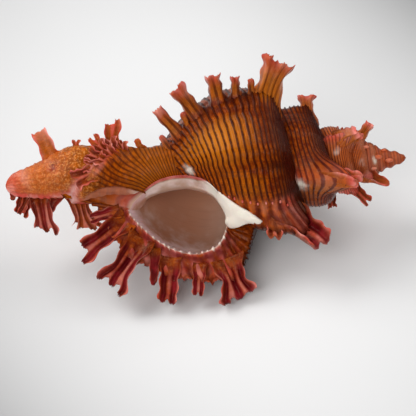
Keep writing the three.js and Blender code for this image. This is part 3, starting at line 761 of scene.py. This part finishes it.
def rib_frond(turn, distance, length, lean, waist, tip, digits, back=2.5, deep=0.0, longer=0.0, rise=0.0,
        wide=None, **more):
    """A leafy spine on the rib at this turn. wide shapes only the whorl below it."""
    s = float(scale_at(turn))
    a = math.radians(LIP_ANGLE + turn)
    radial = np.array([0, -math.cos(a), math.sin(a)])
    forward = np.array([0, math.sin(a), math.cos(a)])
    x = np.array([1.0, 0, 0])
    lean = math.radians(lean)
    out, across = radial * math.cos(lean) + x * math.sin(lean), x * math.cos(lean) - radial * math.sin(lean)
    radius = float(np.interp(distance, DENSE[:, 0], DENSE[:, 1]))
    foot = place(distance, radius * 1.05 - deep, turn - back)
    more = {"base": waist * 1.7, "root": 3.0, "gap": float(np.interp(distance, *CORD_GAPS)), **more}
    for size in ("base", "root", "gap"):
        more[size] *= s
    # a leaf on a steep buttress starts part of the way up it
    start = 0.75 * max(0.0, rise - 0.3)
    length = (length + longer) * s
    frond(foot + out * length * start, out, across, forward, length * (1 - start), waist=waist * s,
          tip=tip * s, digits=digits, cord0=float(cord_at(distance)), **more)


# of the canal: foot x and height, direction in degrees, length, width at the waist and at the tip, digits,
# and more
CANAL_FRONDS = [
    ((-32.6, -3.0), -82, 12.0, 4.4, 10.4, 4, dict(base=9, notch=0.2, bow=0.06, lengths=[0.66, 0.78, 0.88, 1],
        roll=0.7, splay=0.3, tone=0.3, hollow=0.45, stout=1.3)),
    ((-42.0, -3.0), -86, 11.0, 4.6, 5.0, 3, dict(base=6.4, notch=0.18, bow=0.05, lengths=[0.76, 0.9, 1],
        stout=1.4, splay=0.2)),
    ((-44.4, -3.8), -118, 5.6, 2.4, 2.8, 2, dict(base=3.6, notch=0.2, stout=1.4)),
    ((-37.2, -3.4), -122, 5.8, 2.4, 2.0, 1, dict(base=5)),
    ((-45.6, -2.4), -108, 5.6, 2.8, 3.0, 2, dict(base=4, notch=0.12)),
    ((-48.5, -1.4), -98, 3.2, 1.5, 1.3, 1, dict(base=2.6)),
    ((-37.2, 3.2), 114, 11.2, 4.0, 3.8, 1, dict(base=10, notch=0.06, hollow=0.1, roll=1.1, rosy=0.9)),
    ((-32.4, 6.4), 82, 3.6, 1.6, 2.2, 2, dict(base=6, rosy=0.6)),
    ((-24.4, 5.6), 128, 6.0, 2.6, 2.8, 2, dict(base=5, rosy=0.8)),
    ((-23.4, 5.2), 84, 9.2, 3.6, 4.0, 2, dict(base=8, rosy=0.75, notch=0.14, lengths=[0.84, 1])),
    ((-20.6, 6.2), 104, 3.0, 1.4, 1.4, 1, dict(base=3, rosy=0.9)),
    ((-15.6, 6.2), 118, 3.4, 1.6, 1.6, 1, dict(base=3.4, rosy=0.9)),
]
# of the scarp: foot x and height, direction in degrees, length, width
RUFFLES = [(-22.6, 6.6, 110, 3.2, 3.0), (-24.2, 5.6, 132, 4.0, 3.2), (-25.8, 4.2, 150, 4.2, 3.2),
        (-26.9, 2.6, 168, 3.6, 3.0), (-28.0, 1.2, 200, 5.4, 4.2), (-22.6, 4.6, 128, 3.4, 3.0),
        (-24.4, 3.4, 148, 3.0, 3.0), (-20.2, 5.8, 98, 2.8, 2.4)]
FIRST_SEED = 4


def ruffle(x, z, direction, length, width, seed):
    a = math.radians(direction)
    out = np.array([math.cos(a), -0.2, math.sin(a)])
    across = np.array([math.sin(a), 0, -math.cos(a)])
    foot = np.array([x, float(front_depth(x, z)) + 0.9, z])
    frond(foot, out / np.linalg.norm(out), across, np.array([0.1, -1.0, -0.1]), length, base=width * 1.1,
          waist=width, tip=width * 1.3, digits=2, notch=0.25, seed=seed, rows=14, root=1.0, rosy=0.4,
          hollow=0.5, roll=0.5, lined=0.3, splay=0.2, gap=0.8, stout=0.7)


def canal_frond(foot, direction, length, waist, tip, digits, more, seed):
    """A leafy spine on the canal's upper or lower side."""
    x, z = foot
    above = z > 0
    a = math.radians(direction)
    out = np.array([math.cos(a), 0, math.sin(a)])
    across = np.array([-math.sin(a), 0, math.cos(a)]) * (-1 if above else 1)
    shared = dict(curl=0.08, rosy=0.3, hollow=0.15 if above else 0.8, lined=0.0)
    foot = np.array([x, 1.0 if above else 2.6, z])
    frond(foot, out, across, np.array([0, -1.0, 0]), length, waist=waist, tip=tip, digits=digits, seed=seed,
          **{**shared, **more})


def all_fronds():
    seeds = itertools.count(FIRST_SEED)
    for row in RUFFLES:
        ruffle(*row, seed=next(seeds))
    for turn, items in RIB_FRONDS.items():
        for *sizes, more in items:
            rib_frond(turn, *sizes, seed=next(seeds), **{**SHARED.get(turn, SHARED_BY_OLDER), **more})
    for row in CANAL_FRONDS:
        canal_frond(*row, seed=next(seeds))


# ---- into the row's frame ----
def to_row(points):
    moved = points @ np.array(LYING).T + SHIFT
    moved[:, 2] = np.maximum(moved[:, 2], 0.0)
    return moved * MM


def make_piece(name):
    """Turns all that was added since the last call into one object."""
    points = to_row(np.concatenate(store["points"]))
    faces = [[i for i in face if i >= 0] for face in np.concatenate(store["faces"]).tolist()]
    mesh = bpy.data.meshes.new(name)
    mesh.from_pydata(points.tolist(), [], faces)
    mesh.validate()
    for value in NAMES:
        layer = mesh.attributes.new(value, "FLOAT", "POINT")
        layer.data.foreach_set("value", np.concatenate(store[value]).astype(np.float32))
    mesh.shade_smooth()
    store.update({key: [] for key in ("points", "faces", *NAMES)}, count=0)
    return thing(name, mesh)


older_whorls()
last_whorl()
canal()
columella()
apex()
tree = skin_tree()
inner_lip()
callus()
beads()
spire_knobs()
skin = make_piece("shell_skin")
all_fronds()
spines = make_piece("shell_spines")


# ---- materials ----
def rgb(*screen):
    """Linear colour from 0 to 255 screen values."""
    return (*(v / 255 / 12.92 if v < 10.3 else ((v / 255 + 0.055) / 1.055) ** 2.4 for v in screen), 1.0)


class Nodes:
    """A short way to build a node tree."""

    def __init__(self, name):
        self.material = bpy.data.materials.new(name)
        self.material.use_nodes = True
        self.tree = self.material.node_tree
        self.tree.nodes.clear()

    def new(self, kind, inputs=None, **settings):
        node = self.tree.nodes.new("ShaderNode" + kind)
        for key, value in settings.items():
            setattr(node, key, value)
        for key, value in (inputs or {}).items():
            if isinstance(value, bpy.types.NodeSocket):
                self.tree.links.new(value, node.inputs[key])
            else:
                node.inputs[key].default_value = value
        return node

    def math(self, operation, *values, clamp=False):
        return self.new("Math", dict(enumerate(values)), operation=operation, use_clamp=clamp).outputs[0]

    def plus(self, a, b):
        return self.math("ADD", a, b)

    def minus(self, a, b):
        return self.math("SUBTRACT", a, b)

    def times(self, a, b, clamp=False):
        return self.math("MULTIPLY", a, b, clamp=clamp)

    def most(self, a, b, clamp=False):
        return self.math("MAXIMUM", a, b, clamp=clamp)

    def least(self, a, b):
        return self.math("MINIMUM", a, b)

    def field(self, name):
        return self.new("Attribute", attribute_name=name).outputs["Fac"]

    def noise(self, scale, detail, vector):
        inputs = {"Scale": scale, "Detail": detail, "Roughness": 0.55, "Vector": vector}
        return self.new("TexNoise", inputs).outputs["Fac"]

    def step(self, value, low, high):
        inputs = {"Value": value, "From Min": low, "From Max": high}
        return self.new("MapRange", inputs, interpolation_type="SMOOTHSTEP").outputs["Result"]

    def blend(self, a, b, factor):
        return self.new("Mix", {"Factor": factor, 6: a, 7: b}, data_type="RGBA").outputs[2]

    def vector(self, *values):
        return self.new("CombineXYZ", dict(enumerate(values))).outputs[0]

    def finished(self, shader):
        self.new("OutputMaterial", {"Surface": shader.outputs[0]})
        return self.material


def shell_material():
    """Gold-brown shell with dark cords, and all its other colours by how much of each look a point has."""
    n = Nodes("shell")
    cord, lines, turn, pink, crimson, pale, inside, grain, tone = (n.field(name) for name in NAMES)
    space = n.new("TexCoord").outputs["Object"]
    large, medium = n.noise(60.0, 2.0, space), n.noise(210.0, 3.0, space)
    small, sandy = n.noise(900.0, 4.0, space), n.noise(1900.0, 2.0, space)
    streaks = n.noise(1.0, 3.0, n.vector(n.times(cord, 0.9), n.times(turn, 0.16), 0.0))
    growth = n.noise(1.0, 2.0, n.vector(n.times(cord, 0.12), n.times(turn, 0.5), 0.0))
    uneven = n.minus(medium, 0.5)

    # pale patches have uneven edges
    at_edge = n.times(pale, n.minus(1.06, pale))
    pale = n.step(n.plus(pale, n.times(uneven, n.times(at_edge, 6.0))), 0.1, 0.9)

    # dark cords: thin lines at whole cord numbers, a little broken
    wrapped = n.math("FRACT", n.plus(n.plus(cord, n.times(uneven, 0.16)), 0.5))
    away = n.math("ABSOLUTE", n.minus(wrapped, 0.5))
    width = n.plus(0.045, n.times(streaks, 0.3))
    line = n.minus(1.0, n.step(away, n.times(width, 0.55), n.times(width, 1.45)))
    line = n.times(line, lines)
    # fine threads: four to a cord
    fine = n.math("ABSOLUTE", n.minus(n.math("FRACT", n.times(cord, 4.0)), 0.5))
    thread = n.times(n.minus(1.0, n.step(fine, 0.05, 0.3)), n.times(lines, 0.3))

    gold = n.blend(rgb(110, 32, 0), rgb(192, 86, 0), n.step(streaks, 0.35, 0.7))
    between_grains = n.minus(grain, n.times(grain, n.step(sandy, 0.36, 0.5)))
    # painted light and shade: a negative tone darkens the gold to dark brown as painted shade, a positive one
    # turns it golden, partly as painted highlight
    shade = n.times(n.most(n.times(tone, -1.0), 0.0), 0.9)
    for colour, amount in (
        ((92, 30, 2), n.times(n.step(large, 0.45, 0.7), 0.55)),
        ((88, 28, 2), n.times(n.step(growth, 0.52, 0.72), 0.5)),
        ((80, 26, 2), thread),
        ((104, 40, 6), n.times(between_grains, 0.5)),
        ((226, 158, 92), n.times(n.times(grain, n.step(sandy, 0.5, 0.62)), 0.6)),
        ((218, 128, 24), n.times(n.most(tone, 0.0), 0.62, clamp=True)),
        ((64, 18, 2), n.least(shade, 0.92)),
    ):
        gold = n.blend(gold, rgb(*colour), amount)
    line_strength = n.times(line, n.plus(0.64, n.times(streaks, 0.5)), clamp=True)
    body = n.blend(gold, rgb(52, 6, 2), line_strength)
    rose = n.blend(rgb(214, 84, 72), rgb(250, 158, 146), n.step(medium, 0.4, 0.68))
    body = n.blend(body, rose, n.times(pink, n.minus(1.0, n.times(line, 0.45))))
    wine = n.blend(rgb(84, 3, 14), rgb(136, 24, 34), n.step(medium, 0.42, 0.66))
    body = n.blend(body, wine, n.times(crimson, 0.95))
    # the hollow is browner towards the canal
    brown_side = n.step(n.plus(cord, n.times(large, 6.0)), 46.0, 60.0)
    deep = n.blend(rgb(196, 160, 140), rgb(196, 138, 108), brown_side)
    deep = n.blend(deep, rgb(128, 92, 78), n.times(n.step(growth, 0.45, 0.8), 0.12))
    body = n.blend(body, deep, inside)
    white = n.blend(rgb(252, 244, 230), rgb(240, 226, 210), medium)
    white = n.blend(white, rgb(238, 202, 208), crimson)
    body = n.blend(body, white, pale)

    grains = n.new("TexVoronoi", {"Scale": 1100.0, "Vector": space}, feature="SMOOTH_F1")
    height = n.plus(n.times(thread, 0.5), n.times(small, 0.55))
    height = n.plus(height, n.times(n.noise(2600.0, 2.0, space), 0.18))
    height = n.plus(height, n.times(n.times(grains.outputs["Distance"], grain), 1.6))
    outside = n.math("SUBTRACT", 1.0, n.most(inside, pale, clamp=True), clamp=True)
    bump = n.new("Bump", {"Height": n.times(height, outside), "Strength": 0.55, "Distance": 0.00035})
    return n.finished(n.new("BsdfPrincipled", {
        "Base Color": body,
        "Roughness": n.minus(n.plus(0.2, n.times(small, 0.2)), n.times(n.most(inside, pale), 0.14)),
        "IOR": 1.5,
        "Specular IOR Level": 0.13,
        "Specular Tint": (1.0, 0.6, 0.36, 1.0),
        "Coat Weight": 0.05,
        "Coat Roughness": 0.07,
        "Subsurface Weight": 0.07,
        "Subsurface Radius": (1.0, 0.35, 0.2),
        "Subsurface Scale": 0.0016,
        "Normal": bump.outputs["Normal"],
        "Coat Normal": bump.outputs["Normal"],
    }))


def floor_material():
    """Pale paper with painted shade that darkens it softly towards two opposite corners and its rim."""
    n = Nodes("paper")
    spot = n.new("SeparateXYZ", {0: n.new("TexCoord").outputs["Object"]})
    across = n.math("DIVIDE", spot.outputs["X"], 0.052)
    away = n.math("DIVIDE", n.minus(spot.outputs["Y"], 0.02), 0.086)
    both = n.times(n.plus(across, away), 0.5)
    corner = n.least(n.math("POWER", n.math("ABSOLUTE", both), 3.0), 1.4)
    rim = n.least(n.plus(n.math("POWER", across, 2.0), n.math("POWER", away, 2.0)), 3.0)
    # painted shade: the paper's darkening towards the corners and the rim
    dark = n.least(n.plus(n.times(corner, 0.36), n.times(rim, 0.09)), 0.8)
    paper = n.blend((0.86, 0.86, 0.86, 1), (0.04, 0.04, 0.042, 1), dark)
    inputs = {"Base Color": paper, "Roughness": 0.8, "Specular IOR Level": 0.1}
    return n.finished(n.new("BsdfPrincipled", inputs))


horn = shell_material()
for piece in (skin, spines):
    piece.data.materials.append(horn)
    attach(piece, "root")
    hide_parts("shell")


# ---- studio ----
FLOOR_HALF = 3.0
floor_mesh = bpy.data.meshes.new("floor")
floor_corners = [(-FLOOR_HALF, -FLOOR_HALF, 0), (FLOOR_HALF, -FLOOR_HALF, 0),
        (FLOOR_HALF, FLOOR_HALF, 0), (-FLOOR_HALF, FLOOR_HALF, 0)]
floor_mesh.from_pydata(floor_corners, [], [(0, 1, 2, 3)])
floor_mesh.materials.append(floor_material())
thing("floor", floor_mesh)

# the camera looks along the shell's own depth, so it looks down by TILT_BACK
LENS, DISTANCE = 240.0, 0.6933
VIEW_ROLL = math.radians(3.6)  # of the shell's axis in the picture
AIM_RIGHT, AIM_DOWN = 0.0005, 0.0094  # of the picture's middle from the shell's origin
to_camera = LYING @ Vector((0, -1, 0))
right = LYING @ Vector((math.cos(VIEW_ROLL), 0, -math.sin(VIEW_ROLL)))
up = LYING @ Vector((math.sin(VIEW_ROLL), 0, math.cos(VIEW_ROLL)))
target = Vector(to_row(np.zeros((1, 3)))[0]) + right * AIM_RIGHT - up * AIM_DOWN
camera_data = bpy.data.cameras.new("camera")
camera_data.lens = LENS
camera_data.clip_start, camera_data.clip_end = 0.02, 50
camera = thing("camera", camera_data)
pose = Matrix((right, up, to_camera)).transposed().to_4x4()
pose.translation = target + to_camera * DISTANCE
camera.matrix_world = pose
scene.camera = camera

# name, place and power of each light, all soft discs that point at the shell
LIGHTS = [("key", (-0.46, 0.20, 0.66), 4.0), ("front", (-0.22, -0.8, 0.58), 4.4),
        ("rim", (0.55, 0.10, 0.5), 2.2)]
LIGHT_SIZE = 0.6
LOOK_AT = Vector((0, 0, 0.02))
for name, spot, power in LIGHTS:
    data = bpy.data.lights.new(name, "AREA")
    data.shape = "DISK"
    data.size, data.energy = LIGHT_SIZE, power
    light = thing(name, data)
    light.location = spot
    light.rotation_euler = (LOOK_AT - Vector(spot)).to_track_quat("-Z", "Y").to_euler()

world = bpy.data.worlds.new("studio")
world.use_nodes = True
background = world.node_tree.nodes["Background"].inputs
background["Color"].default_value = (1, 1, 1, 1)
background["Strength"].default_value = 0.28
scene.world = world
scene.view_settings.view_transform = "Standard"
